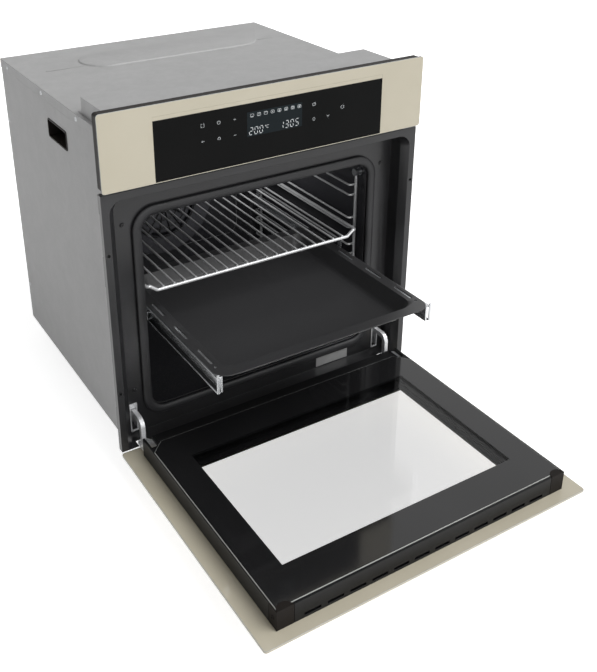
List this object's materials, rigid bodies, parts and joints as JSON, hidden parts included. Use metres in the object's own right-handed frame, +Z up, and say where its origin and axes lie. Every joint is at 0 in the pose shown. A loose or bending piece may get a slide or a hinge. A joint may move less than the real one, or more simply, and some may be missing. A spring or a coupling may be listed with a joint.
{
  "type": "built-in oven",
  "caption": "Built-in electric oven with a drop-down glass door, touch panel, wire side racks, telescopic runners, baking tray and wire shelf.",
  "frame": {"origin": "middle of the niche's front edge on the niche floor: centre of the casing's width, in the plane where the front frame bears on the cabinet, at the casing's underside", "axes": "+X to the right seen from the front, +Y towards the rear, +Z up"},
  "size_m": [0.595, 0.9886, 0.6449],
  "materials": {
    "galvanised": "satin",
    "black_frame": "satin",
    "cream_glass": "gloss",
    "black_glass": "gloss",
    "clear_glass": "gloss",
    "dark_enamel": "gloss",
    "tray_enamel": "satin",
    "seal_rubber": "matt",
    "chrome_wire": "polished",
    "hinge_steel": "satin",
    "runner_steel": "polished",
    "door_profile": "satin",
    "handle_metal": "satin",
    "black_plastic": "matt",
    "screw_steel": "satin",
    "heater_steel": "matt",
    "fan_steel": "satin",
    "insulation": "matt",
    "motor_steel": "satin",
    "lamp_glass": "gloss",
    "circuit": "matt",
    "ceramic": "matt",
    "plate_foil": "satin"
  },
  "bodies": {
    "casing": {"side_panel_left": "galvanised", "side_panel_right": "galvanised", "top_panel": "galvanised", "duct_housing": "galvanised", "back_panel": "galvanised", "base_panel": "galvanised", "air_guide_plate": "galvanised", "casing_screws": "screw_steel", "hand_grips": "black_plastic", "front_frame": "black_frame", "rating_plate": "plate_foil", "frame_screws": "screw_steel", "door_seal": "seal_rubber", "cavity_shell": "dark_enamel", "insulation_wrap": "insulation", "fan_cover": "dark_enamel", "fan_motor": "motor_steel", "ring_heater": "heater_steel", "grill_element": "heater_steel", "bottom_element": "heater_steel", "lamp_lens": "lamp_glass", "oven_lamp": "ceramic", "temperature_probe": "hinge_steel", "blower_housing": "galvanised", "blower_motor": "motor_steel", "power_board": "circuit", "terminal_block": "ceramic", "cable_clamp": "black_plastic", "panel_glass": "cream_glass", "display_insert": "black_glass", "panel_housing": "black_plastic", "touch_board": "circuit", "hinge_arm_left": "hinge_steel", "hinge_arm_right": "hinge_steel", "hinge_receivers": "hinge_steel", "side_rack_left": "chrome_wire", "side_rack_right": "chrome_wire", "rack_knobs": "screw_steel", "fixed_rails": "runner_steel"},
    "door": {"door_glass_outer": "cream_glass", "door_glass_inner": "clear_glass", "door_glass_middle": "clear_glass", "door_side_left": "door_profile", "door_side_right": "door_profile", "door_bottom_profile": "door_profile", "door_top_profile": "door_profile", "door_caps": "black_plastic", "handle_bar": "handle_metal", "handle_posts": "handle_metal", "door_screws": "screw_steel", "hinge_body_left": "hinge_steel", "hinge_body_right": "hinge_steel", "hinge_pins": "screw_steel"},
    "runners": {"moving_rails": "runner_steel"},
    "tray": {"baking_tray": "tray_enamel"},
    "cages": {"ball_cages": "runner_steel"},
    "shelf": {"wire_shelf": "chrome_wire"},
    "fan": {"convection_fan": "fan_steel"},
    "blower": {"blower_wheel": "fan_steel"}
  },
  "joints": [
    {"name": "door_hinge", "type": "hinge", "parent": "casing", "child": "door", "pos_m": [0, -0.0086, 0.0065], "axis": [-1, 0, 0], "range_deg": [0, 90]},
    {"name": "runner_slide", "type": "slide", "parent": "casing", "child": "runners", "axis": [0, 1, 0], "range_m": [0, 0.226]},
    {"name": "cage_slide", "type": "slide", "parent": "casing", "child": "cages", "axis": [0, 1, 0], "range_m": [0, 0.113]},
    {"name": "tray_lift", "type": "slide", "parent": "runners", "child": "tray", "axis": [0, 0, 1], "range_m": [0, 0.012]},
    {"name": "shelf_slide", "type": "slide", "parent": "casing", "child": "shelf", "axis": [0, 1, 0], "range_m": [-0.012, 0.018]},
    {"name": "fan_spin", "type": "hinge", "parent": "casing", "child": "fan", "pos_m": [0, 0.44, 0.227], "axis": [0, 1, 0], "continuous": true},
    {"name": "blower_spin", "type": "hinge", "parent": "casing", "child": "blower", "pos_m": [0, 0.19, 0.4786], "axis": [1, 0, 0], "continuous": true}
  ],
  "couplings": [
    {"joint": "runner_slide", "follows": "door_hinge", "m_per_rad": 0.14387},
    {"joint": "cage_slide", "follows": "door_hinge", "m_per_rad": 0.07193}
  ]
}
